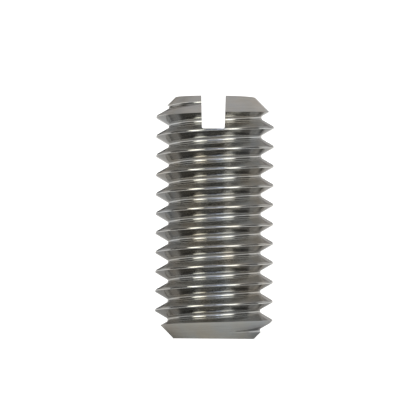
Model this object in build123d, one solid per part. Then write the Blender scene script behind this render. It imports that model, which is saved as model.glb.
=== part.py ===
from build123d import *
import math
import os

# Slotted set screw with a flat chamfered point: one turned bar with a rolled thread and a sawn slot.
# Millimetres and degrees. Z is the screw's axis, the flat point stands on Z = 0,
# and the slot opens upwards and runs along Y.

# Turned blank
length = 10.0
crest_diameter = 4.89
point_diameter = 3.34
head_diameter = 3.30
chamfer_angle = 45.0

# Rolled thread, right-handed, with a sharp-cornered crest flat and a rounded root
thread_pitch = 0.8
flank_angle = 60.0
crest_flat_share = 0.103
root_radius_share = 1 / 8
root_flats = 3
crest_height_at_x = 0.785

# Sawn slot, a little off the axis, slightly narrower at its floor
slot_mouth_width = 1.0
slot_floor_width = 0.93
slot_depth = 1.39
slot_offset = -0.08
slot_corner_radius = 0.08

# How far every cut runs past the surface that it opens
overrun = 0.04


def turned_blank():
    """The bar before threading, with a chamfer at both ends."""
    crest_radius = crest_diameter / 2
    point_radius = point_diameter / 2
    head_radius = head_diameter / 2
    chamfer_slope = math.tan(math.radians(chamfer_angle))
    point_shoulder = (crest_radius - point_radius) / chamfer_slope
    head_shoulder = length - (crest_radius - head_radius) / chamfer_slope
    half_outline = Polyline(
        (0, 0),
        (point_radius, 0),
        (crest_radius, point_shoulder),
        (crest_radius, head_shoulder),
        (head_radius, length),
        (0, length),
        close=True,
    )
    return revolve(Plane.XZ * make_face(half_outline), Axis.Z)


def groove_section(centre_height):
    """Section of the groove between two crests, in the plane of the axis and +X."""
    half_angle = math.radians(flank_angle / 2)
    crest_radius = crest_diameter / 2
    root_radius = thread_pitch * root_radius_share
    half_width = thread_pitch * (1 - crest_flat_share) / 2
    # The flanks would meet at the apex, and the root arc is tangent to both of them
    apex_radius = crest_radius - half_width / math.tan(half_angle)
    arc_centre_radius = apex_radius + root_radius / math.sin(half_angle)
    arc_half_angle = math.pi / 2 - half_angle
    mouth_radius = crest_radius + overrun
    mouth_half_width = half_width + overrun * math.tan(half_angle)

    points = [(mouth_radius, centre_height - mouth_half_width)]
    for step in range(root_flats + 1):
        turn = arc_half_angle * (2 * step / root_flats - 1)
        radius = arc_centre_radius - root_radius * math.cos(turn)
        points.append((radius, centre_height + root_radius * math.sin(turn)))
    points.append((mouth_radius, centre_height + mouth_half_width))
    return Plane.XZ * make_face(Polyline(*points, close=True))


def thread_groove():
    """The groove swept one turn after another, from below the point to above the slotted end."""
    turns_below = math.ceil(crest_height_at_x / thread_pitch) + 1
    start = crest_height_at_x - thread_pitch * (turns_below + 1 / 2)
    turns = math.ceil((length - start) / thread_pitch) + 1
    one_turn = Edge.make_helix(thread_pitch, thread_pitch, crest_diameter / 2)
    path = Wire([Pos(0, 0, start + thread_pitch * turn) * one_turn for turn in range(turns)])
    return sweep(groove_section(start), path=path, is_frenet=True)


def driver_slot():
    """The saw cut across the upper end, with rounded corners along its floor."""
    floor_height = length - slot_depth
    mouth_height = length + overrun
    draft = (slot_mouth_width - slot_floor_width) / slot_depth
    half_floor = slot_floor_width / 2
    half_mouth = (slot_mouth_width + draft * overrun) / 2
    outline = make_face(
        Polyline(
            (slot_offset - half_floor, floor_height),
            (slot_offset + half_floor, floor_height),
            (slot_offset + half_mouth, mouth_height),
            (slot_offset - half_mouth, mouth_height),
            close=True,
        )
    )
    outline = fillet(outline.vertices().group_by(Axis.Y)[0], slot_corner_radius)
    return extrude(Plane.XZ * outline, crest_diameter / 2 + overrun, both=True)


set_screw = turned_blank() - driver_slot() - thread_groove()

os.makedirs("parts", exist_ok=True)
export_step(set_screw, "parts/set_screw.step")
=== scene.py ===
import math

import bpy
from mathutils import Matrix, Vector


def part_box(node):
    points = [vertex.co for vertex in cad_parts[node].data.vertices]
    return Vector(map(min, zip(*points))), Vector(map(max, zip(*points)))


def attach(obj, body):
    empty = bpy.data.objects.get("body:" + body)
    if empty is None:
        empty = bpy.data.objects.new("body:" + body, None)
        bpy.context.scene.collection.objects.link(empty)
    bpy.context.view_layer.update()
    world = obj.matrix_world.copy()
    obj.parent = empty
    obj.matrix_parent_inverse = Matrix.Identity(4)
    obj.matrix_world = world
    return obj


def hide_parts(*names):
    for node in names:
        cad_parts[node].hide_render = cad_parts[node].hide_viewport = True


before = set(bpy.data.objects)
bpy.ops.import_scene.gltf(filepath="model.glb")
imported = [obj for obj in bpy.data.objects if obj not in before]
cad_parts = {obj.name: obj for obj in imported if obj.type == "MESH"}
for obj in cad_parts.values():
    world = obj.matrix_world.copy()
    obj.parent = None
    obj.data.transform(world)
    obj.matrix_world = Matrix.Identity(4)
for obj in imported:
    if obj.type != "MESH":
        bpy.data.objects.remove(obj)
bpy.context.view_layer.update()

# Sizes of the screw, in metres; the overall ones come from the frame
mm = 0.001
screw_low, screw_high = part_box("set_screw")
length = screw_high.z - screw_low.z
crest_radius = (screw_high.x - screw_low.x) / 2
point_radius = 1.67 * mm
head_radius = 1.65 * mm
chamfer_slope = 1.0
edge_round = 0.04 * mm
edge_steps = 5
lathe_columns = 320
sharp_angle = math.radians(28)

# How far the cutting shapes run past the surfaces that they cut
overrun = 0.05 * mm

# Thread; its crest is rounded more above than below, and its root is deepest above the groove's middle
thread_pitch = 0.8 * mm
flank_half_angle = math.radians(30)
crest_flat_share = 0.103
crest_round_above = 0.09 * mm
crest_round_below = 0.01 * mm
root_round_share = 1 / 8
root_lift = 0.015 * mm
crest_height_at_x = 0.765 * mm
turns_below = 3
fan_height = 0.8 * mm
columns_per_turn = 160
crest_steps = 5
flank_shares = (0.03, 0.5, 0.97)
half_root_steps = 6

# Driver slot
slot_mouth_width = 1.0 * mm
slot_floor_width = 0.93 * mm
slot_depth = 1.39 * mm
slot_offset = -0.08 * mm
slot_corner_round = 0.08 * mm
slot_corner_steps = 6

# Steel and its film
steel_colour = (0.503, 0.498, 0.477)
film_brown = (0.507, 0.477, 0.429)
film_blue = (0.474, 0.49, 0.501)
film_stops = ((0.3, film_brown), (0.5, steel_colour), (0.7, film_blue))
grazing_tint = (0.60, 0.59, 0.58)

# Streaks, clouds and grain of the steel, each by scale, detail and roughness of its noise
streak_noise = (9000.0, 4, 0.65)
cloud_noise = (700.0, 3, 0.6)
grain_noise = (12000.0, 2, 0.5)
streak_from = 0.3
streak_to = 0.7
streak_drift = 0.02
streak_dark = 0.9
streak_bright = 1.1
rough_low = 0.08
rough_high = 0.16
grain_share = 0.3
bump_strength = 0.18
bump_depth = 0.004 * mm

# Turned chamfers, more matt than the rolled thread; their lighter colour is painted light, a gain that
# stands in for the brighter reflections they show
turned_painted_light_gain = 1.5
turned_rough = 0.36
turned_from = 0.02 * mm
turned_to = 0.01 * mm

# Camera
camera_distance = 190 * mm
camera_height = 0.03 * mm
camera_aim = Vector((-0.19, 0, 5.33)) * mm
camera_roll = math.radians(0.42)
camera_lens = 393.0
camera_near = 0.5 * mm
camera_far = 2000 * mm

# Studio
softbox_distance = 400 * mm
warm_white = (1.0, 0.99, 0.87)
plain_white = (1.0, 1.0, 1.0)
cool_white = (0.72, 0.80, 1.0)
rose_white = (1.0, 0.95, 0.94)
# Each softbox by azimuth and elevation in degrees, width, height, radiance and colour
softboxes = {
    "left_high": (-41, 28, 235 * mm, 165 * mm, 3.3, warm_white),
    "left_low": (-40, 10, 130 * mm, 110 * mm, 1.2, plain_white),
    "left_low_wide": (-41, 12, 230 * mm, 110 * mm, 0.6, plain_white),
    "right_high": (34, 27, 240 * mm, 170 * mm, 1.8, warm_white),
    "right_low": (35, 10, 165 * mm, 110 * mm, 1.6, plain_white),
    "right_low_wide": (36, 11, 260 * mm, 120 * mm, 1.1, plain_white),
    "front": (-4, 26, 240 * mm, 140 * mm, 0.9, cool_white),
    "front_right": (14, 26, 140 * mm, 160 * mm, 1.5, cool_white),
    "back_left": (-125, 28, 300 * mm, 200 * mm, 0.18, rose_white),
    "left_side": (-124, 18, 300 * mm, 220 * mm, 0.27, plain_white),
    "right_side": (85, 45, 420 * mm, 200 * mm, 0.15, rose_white),
    "right_shoulder": (58, 46, 180 * mm, 180 * mm, 0.5, warm_white),
    "back_right_low": (158, 15, 230 * mm, 110 * mm, 0.55, plain_white),
    "back_right": (125, 28, 300 * mm, 200 * mm, 0.45, plain_white),
    "back": (172, 36, 740 * mm, 270 * mm, 0.3, rose_white),
    "top": (180, 80, 600 * mm, 500 * mm, 0.28, rose_white),
}
world_colour = (0.145, 0.143, 0.138)
stage_white = 0.6
floor_reach = 400 * mm
floor_glow_reach = 60 * mm
# Each stop of the floor's glow by its distance from the axis and its strength; the weak glow close to the
# screw is a painted shadow, a dark pool round its base that the flanks and chamfers also reflect
floor_glow_painted_shadow_stops = ((0, 0.03), (2.1 * mm, 0.05), (2.9 * mm, 0.28), (30 * mm, 0.55), (floor_glow_reach, 0.9))
wall_radius = 160 * mm
wall_height = 28 * mm
wall_steps = 24
# Each part of the wall by its first and last turn in degrees from straight behind the screw, and its glow
wall_parts = {"wall_left": (-84, -6, 0.8), "wall_right": (-6, 84, 1.05)}


def new_object(name, data):
    piece = bpy.data.objects.new(name, data)
    bpy.context.scene.collection.objects.link(piece)
    return piece


def mesh_object(name, verts, faces):
    mesh = bpy.data.meshes.new(name)
    mesh.from_pydata(verts, [], faces)
    return new_object(name, mesh)


def arc(centre, radius, start, end, steps):
    """Points about a centre from one angle to another, in degrees, with both ends."""
    angles = [math.radians(start + (end - start) * step / steps) for step in range(steps + 1)]
    return [(centre[0] + radius * math.cos(a), centre[1] + radius * math.sin(a)) for a in angles]


def rounded_corner(before, corner, after, radius, steps):
    """Points of the arc that rounds a corner between two straight runs."""
    corner = Vector(corner)
    back = (Vector(before) - corner).normalized()
    ahead = (Vector(after) - corner).normalized()
    half = back.angle(ahead) / 2
    reach = radius / math.tan(half)
    centre = corner + (back + ahead).normalized() * radius / math.sin(half)
    first = corner + back * reach - centre
    last = corner + ahead * reach - centre
    turn = first.angle_signed(last)
    points = []
    for step in range(steps + 1):
        spoke = first.copy()
        spoke.rotate(Matrix.Rotation(-turn * step / steps, 2))
        points.append(tuple(centre + spoke))
    return points


def crest_to_root(crest_round, lift):
    """Half a pitch of the thread as radius and height, from the crest's edge to the deepest line of
    the root. The lift takes that line past the middle of the groove, and the flank stays."""
    crest_flat = thread_pitch * crest_flat_share
    root_round = thread_pitch * root_round_share
    half_open = (thread_pitch - crest_flat) / 2
    apex = crest_radius - half_open / math.tan(flank_half_angle)
    root_depth = apex + root_round * (1 / math.sin(flank_half_angle) - 1)
    side_round = root_round + lift * math.cos(flank_half_angle) / (1 - math.sin(flank_half_angle))
    root_centre = (root_depth + side_round, thread_pitch / 2 + lift)
    corner_inset = crest_round * math.tan((math.pi / 2 - flank_half_angle) / 2)
    corner_centre = (crest_radius - crest_round, crest_flat / 2 - corner_inset)
    flank_degrees = math.degrees(flank_half_angle)
    corner = arc(corner_centre, crest_round, 0, 90 - flank_degrees, crest_steps)
    root = arc(root_centre, side_round, 270 - flank_degrees, 180, half_root_steps)
    flank_start = Vector(corner[-1])
    flank_end = Vector(root[0])
    flank = [tuple(flank_start.lerp(flank_end, share)) for share in flank_shares]
    return [*corner, *flank, *root]


def thread_section():
    """One pitch of the thread, from the upper edge of a crest to the lower edge of the next."""
    rising = crest_to_root(crest_round_above, root_lift)
    upper_side = crest_to_root(crest_round_below, -root_lift)
    falling = [(radius, thread_pitch - height) for radius, height in upper_side]
    return rising + falling[-2::-1]


def threaded_bar():
    """A closed bar whose thread runs past both ends of the screw. Each column is a section of
    the whole bar, a little higher than the one before, so the rows follow the helix."""
    section = thread_section()
    rows = len(section)
    start = crest_height_at_x - thread_pitch * turns_below
    turns = math.ceil((length - start) / thread_pitch) + 1
    last_row = rows * turns
    last_column = columns_per_turn - 1
    verts = []
    for column in range(columns_per_turn):
        angle = 2 * math.pi * column / columns_per_turn
        rise = start + thread_pitch * column / columns_per_turn
        for row in range(last_row + 1):
            radius, height = section[row % rows]
            height += rise + thread_pitch * (row // rows)
            verts.append((radius * math.cos(angle), radius * math.sin(angle), height))

    def at(column, row):
        """After a full turn the first column comes again, one pitch higher."""
        if column > last_column:
            return row + rows
        return column * (last_row + 1) + row

    faces = []
    for column in range(columns_per_turn):
        after = column + 1
        top_row = last_row if column < last_column else last_row - rows
        for row in range(top_row):
            faces.append((at(column, row), at(after, row), at(after, row + 1), at(column, row + 1)))

    # Both ragged ends are closed by a fan to the axis, clear of the screw
    lower_rim = [at(column, 0) for column in range(columns_per_turn)]
    lower_rim += [at(0, row) for row in range(rows, 0, -1)]
    upper_rim = [at(column, last_row) for column in range(columns_per_turn)]
    upper_rim += [at(last_column, last_row - row) for row in range(1, rows + 1)]
    foot = len(verts)
    verts.append((0, 0, start - fan_height))
    tip = len(verts)
    verts.append((0, 0, start + thread_pitch * (turns + 1) + fan_height))
    faces += [(b, a, foot) for a, b in zip(lower_rim, lower_rim[1:] + lower_rim[:1])]
    faces += [(a, b, tip) for a, b in zip(upper_rim, upper_rim[1:] + upper_rim[:1])]
    return mesh_object("set_screw_turned", verts, faces)


def lathe(name, outline):
    """A closed solid turned about Z from an outline of radius and height, bottom to top."""
    verts = []
    for radius, height in outline:
        for column in range(lathe_columns):
            angle = 2 * math.pi * column / lathe_columns
            verts.append((radius * math.cos(angle), radius * math.sin(angle), height))
    faces = []
    for ring in range(len(outline) - 1):
        for column in range(lathe_columns):
            after = (column + 1) % lathe_columns
            low = ring * lathe_columns
            high = low + lathe_columns
            faces.append((low + column, low + after, high + after, high + column))
    top = (len(outline) - 1) * lathe_columns
    faces.append(tuple(reversed(range(lathe_columns))))
    faces.append(tuple(range(top, top + lathe_columns)))
    return mesh_object(name, verts, faces)


def turned_outline():
    """Both end faces and chamfers, clear of the crests between them."""
    clear_radius = crest_radius + overrun
    point_edge = (point_radius, 0)
    head_edge = (head_radius, length)
    point_shoulder = (clear_radius, (clear_radius - point_radius) / chamfer_slope)
    head_shoulder = (clear_radius, length - (clear_radius - head_radius) / chamfer_slope)
    return [
        *rounded_corner((0, 0), point_edge, point_shoulder, edge_round, edge_steps),
        point_shoulder,
        head_shoulder,
        *rounded_corner(head_shoulder, head_edge, (0, length), edge_round, edge_steps),
    ]


def slot_cutter():
    """The saw cut, as a bar along Y with rounded lower corners."""
    floor_height = length - slot_depth
    mouth_height = length + overrun
    draft = (slot_mouth_width - slot_floor_width) / slot_depth
    half_floor = slot_floor_width / 2
    half_mouth = (slot_mouth_width + draft * overrun) / 2
    right_floor = (slot_offset + half_floor, floor_height)
    left_floor = (slot_offset - half_floor, floor_height)
    right_mouth = (slot_offset + half_mouth, mouth_height)
    left_mouth = (slot_offset - half_mouth, mouth_height)
    outline = [
        left_mouth,
        *rounded_corner(left_mouth, left_floor, right_floor, slot_corner_round, slot_corner_steps),
        *rounded_corner(left_floor, right_floor, right_mouth, slot_corner_round, slot_corner_steps),
        right_mouth,
    ]
    reach = crest_radius + overrun
    count = len(outline)
    verts = [(x, -reach, z) for x, z in outline] + [(x, reach, z) for x, z in outline]
    faces = [tuple(range(count)), tuple(reversed(range(count, 2 * count)))]
    for point in range(count):
        after = (point + 1) % count
        faces.append((after, point, count + point, count + after))
    return mesh_object("slot_cutter", verts, faces)


def make_screw():
    """The threaded bar, turned to its end faces and chamfers and then sawn."""
    bar = threaded_bar()
    envelope = lathe("turned_envelope", turned_outline())
    slot = slot_cutter()
    for operation, tool in (("INTERSECT", envelope), ("DIFFERENCE", slot)):
        cut = bar.modifiers.new(operation.lower(), "BOOLEAN")
        cut.operation = operation
        cut.solver = "MANIFOLD"
        cut.object = tool
    shaped = bar.evaluated_get(bpy.context.evaluated_depsgraph_get())
    mesh = bpy.data.meshes.new_from_object(shaped)
    mesh.name = "screw_steel"
    mesh.materials.clear()
    mesh.shade_smooth()
    mesh.set_sharp_from_angle(angle=sharp_angle)
    screw = new_object("screw_steel", mesh)
    for helper in (bar, envelope, slot):
        bpy.data.objects.remove(helper)
    return screw


def node_tree(name):
    material = bpy.data.materials.new(name)
    material.use_nodes = True
    material.node_tree.nodes.clear()
    return material, material.node_tree


def linked(tree, kind, *sources, **settings):
    """A new node with its settings, its inputs in order taken from sockets or plain values."""
    node = tree.nodes.new(kind)
    for setting, value in settings.items():
        setattr(node, setting, value)
    for socket, source in zip(node.inputs, sources):
        if isinstance(source, bpy.types.NodeSocket):
            tree.links.new(source, socket)
        elif source is not None:
            socket.default_value = source
    return node


def math_of(tree, operation, *sources):
    return linked(tree, "ShaderNodeMath", *sources, operation=operation).outputs["Value"]


def range_of(tree, source, from_low, from_high, to_low, to_high):
    """The source, moved from one range of values to another and kept inside it."""
    moved = linked(tree, "ShaderNodeMapRange", source, from_low, from_high, to_low, to_high)
    return moved.outputs["Result"]


def ramp_of(tree, source, stops, interpolation):
    """The colour that belongs to the source's value, between stops of a value and a colour."""
    node = linked(tree, "ShaderNodeValToRGB", source)
    node.color_ramp.interpolation = interpolation
    elements = node.color_ramp.elements
    for _ in stops[len(elements):]:
        elements.new(1)
    for element, (value, colour) in zip(elements, stops):
        element.position = value
        element.color = (*colour, 1)
    return node.outputs["Color"]


def noise_of(tree, place, scale, detail, roughness):
    noise = linked(tree, "ShaderNodeTexNoise", place)
    noise.inputs["Scale"].default_value = scale
    noise.inputs["Detail"].default_value = detail
    noise.inputs["Roughness"].default_value = roughness
    return noise.outputs["Fac"]


def object_place(tree):
    return tree.nodes.new("ShaderNodeTexCoord").outputs["Object"]


def cylinder_place(tree):
    """Radius, angle and height about the screw's axis."""
    x, y, z = linked(tree, "ShaderNodeSeparateXYZ", object_place(tree)).outputs
    flat = linked(tree, "ShaderNodeCombineXYZ", x, y).outputs["Vector"]
    radius = linked(tree, "ShaderNodeVectorMath", flat, operation="LENGTH").outputs["Value"]
    return radius, math_of(tree, "ARCTAN2", y, x), z


def helix_place(tree):
    """A place that stays nearly the same along the thread's helix, so that what is drawn there runs as
    streaks round the screw. It goes round a circle once a pitch, and so has no seam."""
    radius, around, z = cylinder_place(tree)
    climbed = math_of(tree, "MULTIPLY", z, 2 * math.pi / thread_pitch)
    turn = math_of(tree, "SUBTRACT", climbed, around)
    across = math_of(tree, "MULTIPLY", math_of(tree, "COSINE", turn), thread_pitch)
    along = math_of(tree, "MULTIPLY", math_of(tree, "SINE", turn), thread_pitch)
    lift = math_of(tree, "ADD", math_of(tree, "MULTIPLY", z, streak_drift), radius)
    return linked(tree, "ShaderNodeCombineXYZ", across, along, lift).outputs["Vector"]


def turned_share(tree):
    """One on the two turned chamfers and zero on the rolled thread."""
    radius, _, z = cylinder_place(tree)
    rise = math_of(tree, "DIVIDE", z, chamfer_slope)
    head_cone = head_radius + length / chamfer_slope
    from_point = math_of(tree, "SUBTRACT", math_of(tree, "SUBTRACT", radius, rise), point_radius)
    from_head = math_of(tree, "SUBTRACT", math_of(tree, "ADD", radius, rise), head_cone)
    gaps = [math_of(tree, "ABSOLUTE", gap) for gap in (from_point, from_head)]
    return range_of(tree, math_of(tree, "MINIMUM", *gaps), turned_from, turned_to, 0, 1)


def steel_material():
    """Stainless steel with fine streaks along the helix, a cloudy film and a fine grain.
    The turned chamfers are more matt, and their lighter colour is painted light standing in for brighter
    reflections."""
    material, tree = node_tree("stainless_steel")
    streaks = noise_of(tree, helix_place(tree), *streak_noise)
    cloud = noise_of(tree, object_place(tree), *cloud_noise)
    grain = noise_of(tree, object_place(tree), *grain_noise)
    turned = turned_share(tree)

    tint = ramp_of(tree, cloud, film_stops, "LINEAR")
    streaks_and_painted_light = range_of(tree, streaks, streak_from, streak_to, streak_dark, streak_bright)
    # The streaks' random tone, times the chamfers' gain, which is painted light that lightens them as if
    # they reflected more
    streaks_and_painted_light = math_of(tree, "MULTIPLY", streaks_and_painted_light, range_of(tree, turned, 0, 1, 1, turned_painted_light_gain))
    colour = linked(tree, "ShaderNodeVectorMath", tint, operation="SCALE")
    tree.links.new(streaks_and_painted_light, colour.inputs["Scale"])
    rough = range_of(tree, streaks, streak_from, streak_to, rough_low, rough_high)
    rough = linked(tree, "ShaderNodeMix", turned, None, rough, turned_rough).outputs["Result"]
    height = math_of(tree, "ADD", streaks, math_of(tree, "MULTIPLY", grain, grain_share))
    bump = tree.nodes.new("ShaderNodeBump")
    bump.inputs["Strength"].default_value = bump_strength
    bump.inputs["Distance"].default_value = bump_depth
    tree.links.new(height, bump.inputs["Height"])

    shader = tree.nodes.new("ShaderNodeBsdfPrincipled")
    shader.inputs["Metallic"].default_value = 1.0
    shader.inputs["Specular Tint"].default_value = (*grazing_tint, 1)
    tree.links.new(colour.outputs["Vector"], shader.inputs["Base Color"])
    tree.links.new(rough, shader.inputs["Roughness"])
    tree.links.new(bump.outputs["Normal"], shader.inputs["Normal"])
    output = tree.nodes.new("ShaderNodeOutputMaterial")
    tree.links.new(shader.outputs["BSDF"], output.inputs["Surface"])
    return material


def stage_material(name):
    """Pale matt surface that also glows for the camera and in reflections, so that it looks white.
    It comes with the socket that takes the strength of its glow."""
    material, tree = node_tree(name)
    matt = tree.nodes.new("ShaderNodeBsdfDiffuse")
    matt.inputs["Color"].default_value = (stage_white, stage_white, stage_white, 1)
    light_path = tree.nodes.new("ShaderNodeLightPath")
    seen = light_path.outputs["Is Camera Ray"]
    for ray in ("Is Glossy Ray", "Is Transmission Ray"):
        seen = math_of(tree, "MAXIMUM", seen, light_path.outputs[ray])
    strength = linked(tree, "ShaderNodeMath", seen, operation="MULTIPLY")
    shine = tree.nodes.new("ShaderNodeEmission")
    tree.links.new(strength.outputs["Value"], shine.inputs["Strength"])
    both = linked(tree, "ShaderNodeAddShader", matt.outputs["BSDF"], shine.outputs["Emission"])
    output = tree.nodes.new("ShaderNodeOutputMaterial")
    tree.links.new(both.outputs["Shader"], output.inputs["Surface"])
    return material, strength.inputs[1]


def floor_material():
    """The floor's glow grows away from the screw: the weak glow near it is a painted shadow round the base,
    and the matt part keeps the screw's real shadow.
    """
    material, strength = stage_material("floor_white")
    tree = material.node_tree
    distance = linked(tree, "ShaderNodeVectorMath", object_place(tree), operation="LENGTH").outputs["Value"]
    share = math_of(tree, "DIVIDE", distance, floor_glow_reach)
    # Weak glow near the axis: a painted shadow round the screw's base
    stops = [(reach / floor_glow_reach, (glow, glow, glow)) for reach, glow in floor_glow_painted_shadow_stops]
    tree.links.new(ramp_of(tree, share, stops, "EASE"), strength)
    return material


def wall(name, first_turn, last_turn, glow):
    """An upright strip on a circle round the screw."""
    verts = []
    for step in range(wall_steps + 1):
        turn = math.radians(first_turn + (last_turn - first_turn) * step / wall_steps)
        x = wall_radius * math.sin(turn)
        y = wall_radius * math.cos(turn)
        verts += [(x, y, 0), (x, y, wall_height)]
    faces = [(2 * step, 2 * step + 2, 2 * step + 3, 2 * step + 1) for step in range(wall_steps)]
    strip = mesh_object(name, verts, faces)
    material, strength = stage_material(name + "_white")
    strength.default_value = glow
    strip.data.materials.append(material)
    return strip


def make_stage():
    corners = [(-1, -1), (1, -1), (1, 1), (-1, 1)]
    verts = [(x * floor_reach, y * floor_reach, 0) for x, y in corners]
    floor = mesh_object("floor", verts, [(0, 1, 2, 3)])
    floor.data.materials.append(floor_material())
    [wall(name, *values) for name, values in wall_parts.items()]


def softbox(name, azimuth, elevation, width, height, radiance, colour):
    """A lamp on a sphere about the screw, turned to it; azimuth 0 is the camera's side."""
    lamp = bpy.data.lights.new(name, "AREA")
    lamp.shape = "ELLIPSE"
    lamp.size = width
    lamp.size_y = height
    lamp.color = colour
    area = math.pi * width * height / 4
    lamp.energy = radiance * math.pi * area
    piece = new_object(name, lamp)
    around = math.radians(azimuth)
    above = math.radians(elevation)
    level = math.cos(above)
    towards = Vector((math.sin(around) * level, -math.cos(around) * level, math.sin(above)))
    piece.location = Vector((0, 0, length / 2)) + towards * softbox_distance
    piece.rotation_euler = (-towards).to_track_quat("-Z", "Y").to_euler()


def make_lights():
    for name, values in softboxes.items():
        softbox(name, *values)
    world = bpy.data.worlds.new("studio")
    bpy.context.scene.world = world
    world.use_nodes = True
    sky = world.node_tree.nodes["Background"]
    sky.inputs["Color"].default_value = (*world_colour, 1)


def make_camera():
    lens = bpy.data.cameras.new("photo_camera")
    lens.lens = camera_lens
    lens.clip_start = camera_near
    lens.clip_end = camera_far
    camera = new_object("photo_camera", lens)
    camera.location = (camera_aim.x, -camera_distance, camera_height)
    ahead = camera_aim - camera.location
    aimed = ahead.to_track_quat("-Z", "Y").to_matrix().to_4x4()
    camera.rotation_euler = (aimed @ Matrix.Rotation(camera_roll, 4, "Z")).to_euler()
    bpy.context.scene.camera = camera


screw = make_screw()
screw.data.materials.append(steel_material())
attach(screw, "root")
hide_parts("set_screw")
make_stage()
make_lights()
make_camera()
bpy.context.scene.view_settings.view_transform = "Standard"
